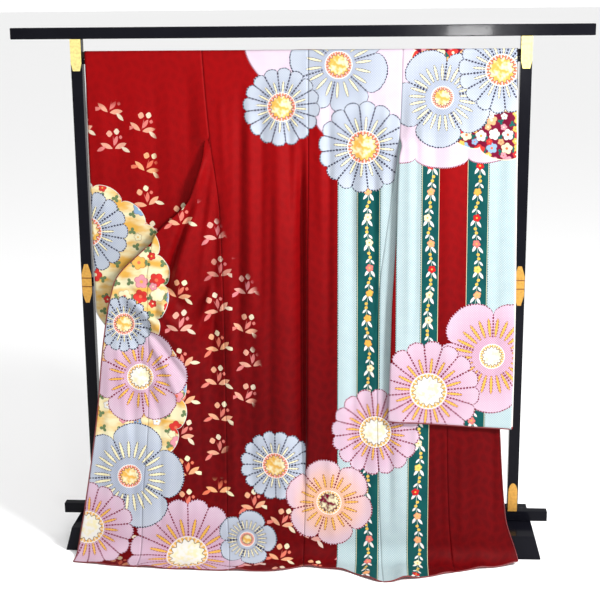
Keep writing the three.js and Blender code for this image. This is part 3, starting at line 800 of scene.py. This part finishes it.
# Scalloped shapes: centre x, centre drop, radius, number of lobes, their depth.
CLOUD = (430.0, -330.0, 690.0, 26, 26)
CLOUD_FIELD = (660.0, 10.0, 330.0, 16, 22)
GOLD_FIELDS = ((-742.0, 724.0, 340.0, 20, 24), (-650.0, 1080.0, 300.0, 18, 24))
SPRAY_FIELD = (-700.0, 900.0, 600.0, 12, 60)
# What is printed on each panel. Every panel has the crimson ground.
PRINTS = {
    "back_left": {
        "flowers": ("shoulder", "nape", "hem_blue", "hem_pink", "hem_small", "hem_sunny"),
        "cloud": True, "sprays": True},
    "back_right": {
        "flowers": ("shoulder", "nape", "back", "hem_sunny", "hip"),
        "bands": BODY_BANDS, "cloud": True, "sprays": True},
    "front_left": {
        "flowers": ("field_pink", "field_blue", "hem_pink", "hem_small", "left_blue"),
        "gold": True, "sprays": True},
    "front_right": {"flowers": ("hip",), "bands": BODY_BANDS},
    "okumi_left": {
        "flowers": ("field_pink", "field_blue", "hem_pink", "left_blue", "left_pink"),
        "gold": True, "sprays": True},
    "sleeve_left": {"flowers": ("cuff", "field_pink"), "gold": True, "sprays": True},
    "sleeve_right": {
        "flowers": ("sleeve_top", "sleeve_edge", "sleeve_low", "sleeve_hem"),
        "bands": SLEEVE_BANDS, "cloud": True},
}


def scallops(x, y, centre_x, centre_y, radius, count, depth):
    """How far inside a scalloped round edge a point lies, in mm."""
    dx, dy = x - centre_x, y - centre_y
    steps = (dy.arctangent(dx) + tau) * (count / tau)
    return radius - depth + depth * lobes(steps) - distance(dx, dy)


def ground(x, y):
    """Crimson figured silk: woven waves and random tone, with painted shade deepening it towards the
    hem.
    """
    wave = ((x / 9 + (y / 14).sin() * 0.9).sin() * (y / 11 + (x / 17).sin()).sin()).abs()
    # Painted shade: the drop term darkens the crimson towards the hem, in place of the light's falloff
    # down the cloth; the noise and wave terms are the silk's own tone.
    tone = noise(x, y, 0.011, salt=4.2) * 0.25 + wave * 0.15 + y.rise(150, 1250) * 0.75
    return mix(tone, CRIMSON, DEEP_AND_SHADED_CRIMSON)


def lay_bands(picture, x, y, bands):
    """Vertical bands from a drop down: pale tied dots, or teal with a garland."""
    for first, last, kind in bands:
        across = (x - first).rise(-0.5, 0.5) * (last - x).rise(-0.5, 0.5)
        border = (x - first).least(last - x)
        if kind == "aqua":
            colour = kanoko(x, y, mix(noise(x, y, 0.03), AQUA, DEEP_AQUA), 0.6)
            colour = mix(border.rise(3.4, 2.2) * dashes(y / 5.2, 0.38, 0.28), colour, TEAL)
        else:
            shade = mix(noise(x, y, 0.02, salt=2.0), TEAL, DEEP_TEAL)
            colour = use(GARLAND, X=x, Y=y, Centre=(first + last) / 2, Pitch=78.0, Base=shade)
            colour = mix(border.rise(1.6, 0.8), colour, CREAM)
        picture = mix(across * (y - BANDS_TOP).rise(-0.5, 0.5), picture, colour)
    return picture


def lay_cloud(picture, x, y):
    """The lilac scalloped cloud over the right shoulder, with a field of blossoms."""
    inside = scallops(x, y, *CLOUD)
    cloud = kanoko(x, y, mix(noise(x, y, 0.012, salt=5.0), LILAC, PALE_LILAC))
    cloud = mix(inside.rise(5, 3) * dashes((x + y) / 6, 0.42, 0.3), cloud, PLUM)
    picture = mix(inside.rise(0, 1), picture, cloud)
    inside = scallops(x, y, *CLOUD_FIELD)
    field = use(BLOSSOMS, X=x, Y=y, Cell=40.0, Share=0.96, Base=PLUM, Leaf=TEAL)
    return mix(inside.rise(0, 1), picture, mix(inside.rise(3.5, 2), field, CREAM))


def lay_gold_field(picture, x, y):
    """The gold and cream scalloped fields at the left, with blossoms and mist."""
    upper, lower = (scallops(x, y, *field) for field in GOLD_FIELDS)
    inside = upper.most(lower)
    mist = noise(x, y * 2.2, 0.012, detail=3.0, salt=6.0).rise(0.38, 0.66)
    field = use(BLOSSOMS, X=x, Y=y, Cell=52.0, Share=0.42, Base=mix(mist, CREAM, GOLD),
                Leaf=LEAF_GREEN)
    return mix(inside.rise(0, 1), picture, mix(inside.rise(2.6, 1.4), field, IVORY))


def lay_sprays(picture, x, y):
    """Coral sprays beside the gold fields, along the hem and on the left sleeve."""
    near = scallops(x, y, *SPRAY_FIELD).rise(0, 30)
    hem = (y - 1330).rise(0, 40) * (190 - x).rise(0, 40)
    sleeve = (y - 150).rise(0, 30) * (-430 - x).rise(0, 30)
    where = near.most(hem).most(sleeve)
    return use(SPRAYS, X=x, Y=y, CellX=104.0, CellY=112.0, Where=where, Base=picture)


# ---------- materials ----------


def new_material(name):
    """A new material and its shader."""
    material = bpy.data.materials.new(name)
    material.use_nodes = True
    return material, material.node_tree.nodes["Principled BSDF"]


def cloth_place(shader):
    """x and drop on the cloth, in mm."""
    source = shader.id_data.nodes.new("ShaderNodeUVMap")
    source.uv_map = "Cloth"
    x, drop, _ = parts(source.outputs[0])
    return x * 1000, drop * 1000


def object_place(shader):
    """x and z on a piece, in metres."""
    x, _, z = parts(shader.id_data.nodes.new("ShaderNodeTexCoord").outputs["Object"])
    return x, z


def bump(shader, height, strength, distance):
    inputs = {"Height": height, "Strength": strength, "Distance": distance}
    feed(add_node("ShaderNodeBump", inputs).outputs[0], shader.inputs["Normal"])


def silk_finish(shader, x, y, roughness=0.56):
    """Crepe silk: a fine grain, woven waves and a soft sheen."""
    feed_all(shader, {"Roughness": roughness, "Specular IOR Level": 0.05,
                      "Sheen Weight": 0.01, "Sheen Roughness": 0.45})
    grain = noise(x, y, 0.9, detail=3.0) * 0.6
    thread = ((x * 2.4).sin() * (y * 2.4).sin()) * 0.25
    bump(shader, grain + thread, 0.35, 0.0006)


def printed_silk(panel):
    """The silk of a panel, with all that is printed on it."""
    prints = PRINTS.get(panel, {})
    material, shader = new_material(f"silk_{panel}")
    x, y = cloth_place(shader)
    # The ground carries painted shade that darkens the crimson towards the hem.
    picture = ground(x, y)
    if "sprays" in prints:
        picture = lay_sprays(picture, x, y)
    if "bands" in prints:
        picture = lay_bands(picture, x, y, prints["bands"])
    if "gold" in prints:
        picture = lay_gold_field(picture, x, y)
    if "cloud" in prints:
        picture = lay_cloud(picture, x, y)
    for key in prints.get("flowers", ()):
        *place, kind, palette = FLOWERS[key]
        inputs = zip(PLACE + KIND + PALETTE, (*place, *kind, *palette))
        picture = use(FLOWER, X=x, Y=y, Base=picture, **dict(inputs))
    feed(picture, shader.inputs["Base Color"])
    silk_finish(shader, x, y)
    return material


def lining_silk():
    """The lining: pale above, crimson towards the hem."""
    material, shader = new_material("lining_silk")
    x, y = cloth_place(shader)
    pale = mix(noise(x, y, 0.01), IVORY, dye(236, 226, 218))
    red = mix(noise(x, y, 0.02), dye(176, 24, 36), dye(150, 14, 28))
    feed(mix((y - 1150).rise(0, 0.5), pale, red), shader.inputs["Base Color"])
    silk_finish(shader, x, y, 0.5)
    return material


def edge_silk():
    """The crimson rolled edges."""
    material, shader = new_material("edge_silk")
    x, z = (place * 1000 for place in object_place(shader))
    colour = mix(noise(x, z, 0.05), dye(140, 8, 18), dye(104, 4, 12))
    feed_all(shader, {"Base Color": colour, "Roughness": 0.5, "Sheen Weight": 0.04})
    bump(shader, noise(x, z, 1.2), 0.3, 0.0005)
    return material


def lacquer(name, base, roughness):
    """Gloss lacquer with faint ripples and slow changes of tone and gloss."""
    material, shader = new_material(name)
    x, z = object_place(shader)
    pale = tuple(c * 1.7 + 0.002 for c in base)
    feed_all(shader, {
        "Base Color": mix(noise(x, z, 9.0, detail=4.0, salt=0.4), base, pale),
        "Roughness": roughness + 0.10 * noise(x, z, 26.0, salt=2.0),
        "Specular IOR Level": 0.05, "Coat Weight": 0.03, "Coat Roughness": 0.05})
    bump(shader, noise(x, z, 14.0, salt=5.0), 0.06, 0.002)
    return material


def brass(name, base, roughness, grooves=()):
    """Chased brass: fine brush marks, slow darkening, and grooves across at some heights."""
    material, shader = new_material(name)
    x, z = (place * 1000 for place in object_place(shader))
    dark = noise(x, z, 0.12, detail=4.0).rise(0.35, 0.8)
    colour = mix(dark, base, tuple(c * 0.72 for c in base))
    brushed = noise(x * 4, z * 0.3, 1.0, salt=3.0)
    height = brushed * 0.2
    for at in grooves:
        near = (z - at * 1000).abs().rise(2.4, 1.2)
        colour = mix(near * 0.85, colour, srgb(96, 48, 18))
        height = height - near
    feed_all(shader, {"Base Color": colour, "Metallic": 0.6,
                      "Roughness": roughness + brushed * 0.16})
    bump(shader, height, 0.5, 0.0006)
    return material


# ---------- the stand ----------

LACQUER = lacquer("black_lacquer", (0.0022, 0.0022, 0.0040), 0.12)
ROD_WOOD = lacquer("rod_wood", (0.010, 0.007, 0.006), 0.32)
BRASS_PALE = brass("brass_pale", srgb(236, 218, 140), 0.36)
BRASS_GOLD = brass("brass_gold", BRASS_COLOUR, 0.30)
MID_LOW, MID_HIGH = (corner.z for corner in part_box("brass_mid_left_front"))
BRASS_GROOVED = brass("brass_grooved", BRASS_COLOUR, 0.30,
                      [MID_HIGH - (MID_HIGH - MID_LOW) * share for share in (0.36, 0.58)])


def dress_cad_node(node, material, edge):
    """A CAD node keeps its shape and gets rounded edges and a finish."""
    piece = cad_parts[node]
    piece.data.materials.clear()
    piece.data.materials.append(material)
    weld = piece.modifiers.new("weld", "WELD")
    weld.merge_threshold = 0.00002
    bevel = piece.modifiers.new("edges", "BEVEL")
    bevel.width = edge / 1000
    bevel.segments = 3
    bevel.limit_method = "ANGLE"
    bevel.angle_limit = radians(35)
    bevel.harden_normals = True


def dress_stand():
    for name in ("top_rail", "mid_rail", "lower_rail", "post_left", "post_right"):
        dress_cad_node(name, LACQUER, 2.2)
    for _, side in SIDES:
        dress_cad_node(f"foot_{side}", LACQUER, 4.0)
        dress_cad_node(f"rod_peg_{side}", LACQUER, 1.2)
        for face in ("front", "back"):
            dress_cad_node(f"brass_top_{side}_{face}", BRASS_PALE, 0.5)
            dress_cad_node(f"brass_mid_{side}_{face}", BRASS_GROOVED, 0.5)
            dress_cad_node(f"brass_low_{side}_{face}", BRASS_GOLD, 0.5)
    dress_cad_node("hanging_rod", ROD_WOOD, 1.0)


# ---------- the garment ----------

LINING, EDGE_SILK = lining_silk(), edge_silk()


def finish_cloth(piece, node, rolls=()):
    for material in (printed_silk(node), LINING, EDGE_SILK):
        piece.data.materials.append(material)
    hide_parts(node)
    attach(piece, "root")


def rolled_edge(name, path, radius):
    """A padded crimson roll along an edge of the silk."""
    piece = tube(name, path, radius)
    piece.data.materials.append(EDGE_SILK)
    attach(piece, "root")
    return piece


def body_roll(name, cloth, lift, radius):
    """A rolled edge along a line of places on the body."""
    x, drop = cloth[:, 0], cloth[:, 1]
    return rolled_edge(name, body_point(x, drop, relief(x, drop) + lift), radius)


def hem_roll(panel, cloth):
    return body_roll(f"hem_roll_{panel}", cloth[-1], 0.9, HEM_ROLL)


def spaced(start, end, step):
    return np.linspace(start, end, max(2, int(round(abs(end - start) / step)) + 1))


def seam_dip(across, width):
    """How far the cloth turns in beside its seams."""
    return SEAM_SINK * bell(np.minimum(across, width - across), SEAM_REACH)


def spread_panel(left_edge, right_edge, first_drop):
    """Middle points and cloth places of a spread panel, from a first drop to the hem."""
    bottom = FLOOR_START + FLOOR_LENGTH
    drops = spaced(first_drop, bottom, ROW_STEP)
    width = np.max(EDGES.at(right_edge, drops) - EDGES.at(left_edge, drops))
    u = np.linspace(0, 1, max(6, int(width / COLUMN_STEP)) + 1)[None, :]
    hem_x = EDGES.at(left_edge, HEM_LINE) * (1 - u) + EDGES.at(right_edge, HEM_LINE) * u
    part = ((drops - first_drop) / (bottom - first_drop))[:, None]
    lower = ease(drops, HEM_SHAPED, bottom)[:, None]
    to_hem = first_drop + (hem_drop(hem_x) - first_drop) * part
    drop = drops[:, None] * (1 - lower) + to_hem * lower
    left = EDGES.at(left_edge, drop) + SEAM_GAP / 2
    right = EDGES.at(right_edge, drop) - SEAM_GAP / 2
    x = left + (right - left) * u
    dip = seam_dip(x - left, right - left) * (1 - ease(drop, BEND_START, FLOOR_START))
    return body_point(x, drop, relief(x, drop) - dip), np.stack([x, drop], axis=-1)


def build_backs():
    for name, edges in (("back_left", ("sideLeft", "centre")),
                        ("back_right", ("centre", "sideRight"))):
        grid, cloth = spread_panel(*edges, FIRST_DROP)
        piece = shell(f"silk_{name}", grid, cloth)
        finish_cloth(piece, name, [hem_roll(name, cloth)])


def left_to_right(side, outer, inner):
    """The two edges of a panel of one side, in the order in which they lie."""
    return (outer, inner)[::-side]


def front_panel(side, name):
    """The front: behind the back to the underarm, then gathered and spread to the side."""
    title = name.title()
    spread, spread_cloth = spread_panel(
        *left_to_right(side, f"okumi{title}", f"side{title}"), SEAM_TOP)
    edges = left_to_right(side, f"{name}Outer", f"{name}Inner")
    u = np.linspace(0, 1, spread.shape[1])[None, :]

    def upper_row(drop, gap):
        left, right = (UPPER_FRONTS.at(edge, drop) for edge in edges)
        return (left + gap) + ((right - gap) - (left + gap)) * u

    drops = spaced(FIRST_DROP, SEAM_TOP - ROW_STEP, ROW_STEP)[:, None]
    x = upper_row(drops, SEAM_GAP / 2)
    upper = upper_front_point(x, drops + 0 * u)
    join = upper_front_point(upper_row(SEAM_TOP, 0), SEAM_TOP + 0 * u)
    to_seam = u if side < 0 else 1 - u
    share = (1 - ease(spread_cloth[..., 1], SEAM_TOP, SEAM_SETTLED)) * (1 - ease(to_seam, 0.8, 1.0))
    lower = spread + (join - spread[:1]) * share[..., None]
    cloth = np.concatenate([np.stack([x, drops + 0 * x], axis=-1), spread_cloth])
    return np.concatenate([upper, lower]), cloth


def build_fronts():
    for side, name in SIDES:
        grid, cloth = front_panel(side, name)
        turned = cloth[:, 0, 1] < SEAM_TOP
        piece = shell(f"silk_front_{name}", grid, cloth, turned=turned)
        roll = hem_roll(f"front_{name}", cloth)
        finish_cloth(piece, f"front_{name}", [roll])


def build_okumi():
    for side, name in SIDES:
        edges = left_to_right(side, f"front{name.title()}", f"okumi{name.title()}")
        grid, cloth = spread_panel(*edges, OKUMI_TOP)
        free = cloth[:, 0] if side < 0 else cloth[:, -1]
        rolls = [hem_roll(f"okumi_{name}", cloth),
                 body_roll(f"front_roll_{name}", free, 0.6, FRONT_ROLL)]
        piece = shell(f"silk_okumi_{name}", grid, cloth)
        finish_cloth(piece, f"okumi_{name}", rolls)


def sleeve_point(side, drop, u, leg, x):
    """Points on a sleeve's leg: 1 is the leg towards the viewer, -1 the one behind."""
    settled = ease(drop, WRAP_LENGTH, UNDERARM)
    y, z, face_y, face_z = hang(drop)
    soft = sum(height * ease(drop, top, top + 90) * (1 - ease(drop, bottom - 200, bottom))
               * bell(x - at, width) for at, top, bottom, width, height in SLEEVE_FOLDS[side])
    if side < 0:
        core_y = (-11 - soft) * settled
        core_z = ROD_Z - (drop - WRAP_LENGTH)
    else:
        folds = fold_lift(x, drop, FOLDS) * ease(drop, 60, 260)
        core_y = (y + face_y * (SLEEVE_AHEAD + folds + soft)) * settled
        core_z = z + face_z * SLEEVE_AHEAD * settled
    to_bottom = SLEEVE_INNER * (1 - u) + SLEEVE_OUTER * u - drop
    shut = np.sqrt(np.maximum(0, 1 - u)) * np.sqrt(np.clip(to_bottom / 300, 0, 1))
    slim = CLOTH / 2 + 0.2 + SLEEVE_FULLNESS * shut
    opened = 1 - ease(drop, WRAP_LENGTH, CUFF_OPENING + 20)
    half = slim + (ROD_WRAP - slim) * opened
    angle = leg * drop / ROD_WRAP
    on_rod = drop < WRAP_LENGTH
    return np.stack([
        x + 0 * half,
        np.where(on_rod, -ROD_WRAP * np.sin(angle), core_y - leg * half),
        np.where(on_rod, ROD_Z + ROD_WRAP * np.cos(angle), core_z),
    ], axis=-1)


def sleeve_leg(side, name, leg, drops):
    """Points and cloth places of a sleeve's leg, at each drop."""
    u = np.linspace(0, 1, 59)[None, :]
    drop = drops[:, None] + 0 * u
    short = (SLEEVE_OUTER - SLEEVE_INNER) * (1 - u)
    at = drop - short * ease(drop, UNDERARM, SLEEVE_OUTER)
    inner = SLEEVES.at(f"{name}Inner", drop) + side * SEAM_GAP / 2
    if side < 0:
        # It runs on behind the folded front below the seam.
        tuck = ease(drop, SEAM_TOP, TUCK_FULL) * (1 - ease(drop, TUCK_FADES, TUCK_ENDS))
        inner = inner + SLEEVE_TUCK * tuck
    outer = SLEEVES.at(f"{name}Outer", drop)
    if leg < 0:
        outer = outer + side * BACK_LEG_WIDER
    x = inner + (outer - inner) * u
    points = sleeve_point(side, at, u, leg, x)
    # The edge beside the body is sewn to it as far down as the underarm.
    if leg > 0:
        edge = EDGES.at("side" + name.title(), drop) + side * SEAM_GAP / 2
        seam = body_point(edge, drop, relief(edge, drop) - SEAM_SINK)
    else:
        edge = UPPER_FRONTS.at(f"{name}Outer", drop) + side * SEAM_GAP / 2
        seam = upper_front_point(edge, np.minimum(drop, SEAM_TOP))
    sewn = (1 - ease(u, 0.0, 0.16)) * (1 - ease(drop, SEAM_TOP, SEAM_SETTLED)) * (drop > 0.1)
    points = points + (seam - points[:, :1]) * sewn[..., None]
    return points, np.stack([x, at], axis=-1)


def sleeve_roll(side, name):
    """The roll along the sleeve's closed bottom."""
    u = np.linspace(0, 1, 60)
    drop = SLEEVE_INNER * (1 - u) + SLEEVE_OUTER * u
    inner, outer = (SLEEVES.at(name + edge, drop) for edge in ("Inner", "Outer"))
    path = sleeve_point(side, drop, u, 0, inner + (outer - inner) * u)
    return rolled_edge(f"sleeve_roll_{name}", path, SLEEVE_ROLL)


def build_sleeves():
    """Each sleeve is one strip: up the leg towards the viewer, over the rod and down behind."""
    drops = np.concatenate([spaced(0.0, WRAP_LENGTH, 2.0)[:-1],
                            spaced(WRAP_LENGTH, SLEEVE_OUTER, ROW_STEP)])
    for side, name in SIDES:
        legs = sleeve_leg(side, name, 1, drops[::-1]), sleeve_leg(side, name, -1, drops[1:])
        # The strip's rows run so that the printed side is outside.
        grid, cloth = (np.concatenate(pair)[::-side] for pair in zip(*legs))
        piece = shell(f"silk_sleeve_{name}", grid, cloth)
        finish_cloth(piece, f"sleeve_{name}", [sleeve_roll(side, name)])


def build_collar():
    """The folded band round the neck and down the hidden fronts."""
    legs = np.arange(SEAM_TOP, COLLAR_TURN, -COLLAR_STEP)
    left = [(float(UPPER_FRONTS.at("leftInner", d)) + SEAM_GAP, d) for d in legs]
    right = [(float(UPPER_FRONTS.at("rightInner", d)) - SEAM_GAP, d) for d in legs[::-1]]
    neck = [(NECK_CENTRE + NECK_HALF * t, 1.2 + 24 * abs(t) ** 3) for t in np.linspace(-0.88, 0.88, 49)]
    sewn = np.array(left + neck + right)
    run = np.gradient(sewn, axis=0)
    run /= np.linalg.norm(run, axis=1, keepdims=True)
    inward = np.stack([-run[:, 1], run[:, 0]], axis=1)
    away = np.linspace(0, COLLAR_WIDTH, 15)
    x = sewn[:, :1] + inward[:, :1] * away
    drop = sewn[:, 1:] + inward[:, 1:] * away
    fold = 0.45 + 1.2 * np.sin(np.linspace(0, pi, 15))[None, :] ** 0.5
    cloth = np.stack([x, drop], axis=-1)
    piece = shell("silk_collar", upper_front_point(x, drop, fold), cloth, 1.8)
    finish_cloth(piece, "collar")


def build_collar_ends():
    """The rest of the collar, turned in behind the fronts' slanting edges."""
    for side, name in SIDES:
        behind = COLLAR_END["behind"][name]
        drop = spaced(COLLAR_END["top"], COLLAR_END["bottom"], 8)[:, None]
        outer = EDGES.at(f"front{name.title()}", drop)
        to_seam = np.abs(EDGES.at(f"side{name.title()}", drop) - outer)
        u = np.linspace(0, 1, 9)[None, :]
        x = outer - side * np.minimum(COLLAR_END["width"], to_seam - 2) * u
        drop = drop + 0 * x
        grid = body_point(x, drop, relief(x, drop) - behind)[:, ::-side]
        piece = shell(f"silk_collar_end_{name}", grid, np.stack([x, drop], axis=-1)[:, ::-side])
        finish_cloth(piece, f"collar_end_{name}")


# ---------- the stage ----------


def build_camera():
    """The photograph's viewpoint."""
    turn, pitch, roll = radians(4.05), radians(-13.24), radians(-0.53)
    data = bpy.data.cameras.new("camera")
    data.sensor_width = 36.0
    data.lens = 75.0
    camera = link("camera", data)
    place = Matrix.Translation((0.2667, -3.8142 + POST_PLANE / 1000, 1.7025))
    aim = Matrix.Rotation(turn, 4, "Z") @ Matrix.Rotation(pi / 2 + pitch, 4, "X")
    camera.matrix_world = place @ aim @ Matrix.Rotation(roll, 4, "Z")
    bpy.context.scene.camera = camera


def build_floor():
    bpy.ops.mesh.primitive_plane_add(size=1200, location=(0, 0, 0))
    floor = bpy.context.object
    floor.name = "floor"
    material, shader = new_material("floor")
    feed_all(shader, {"Base Color": (0.90, 0.90, 0.90), "Roughness": 0.9})
    floor.data.materials.append(material)


def build_world():
    """White light that is strongest from above and below, and in a band at the horizon."""
    world = bpy.data.worlds.new("world")
    world.use_nodes = True
    nodes = world.node_tree.nodes
    height = parts(nodes.new("ShaderNodeTexCoord").outputs["Generated"])[2]
    strength = 0.20 + 1.60 * (height * height) + 0.9 * height.abs().rise(0.10, 0.03)
    feed_all(nodes["Background"], {"Color": (1.0, 1.0, 1.0), "Strength": strength})
    bpy.context.scene.world = world


def area_light(name, place, target, size, power):
    data = bpy.data.lights.new(name, "AREA")
    data.shape = "RECTANGLE"
    data.size, data.size_y = size
    data.energy = power
    light = link(name, data)
    light.location = place
    light.rotation_euler = (Vector(target) - Vector(place)).to_track_quat("-Z", "Y").to_euler()


build_camera()
build_floor()
build_world()
bpy.context.scene.view_settings.view_transform = "Standard"
area_light("key", (2.7, -2.3, 3.2), (-0.1, 0, 0.9), (0.8, 0.8), 290)
area_light("window", (0.76, -3.9, 1.52), (0.5, 0, 1.5), (0.26, 0.12), 26)
dress_stand()
build_backs()
build_fronts()
build_okumi()
build_sleeves()
build_collar()
build_collar_ends()
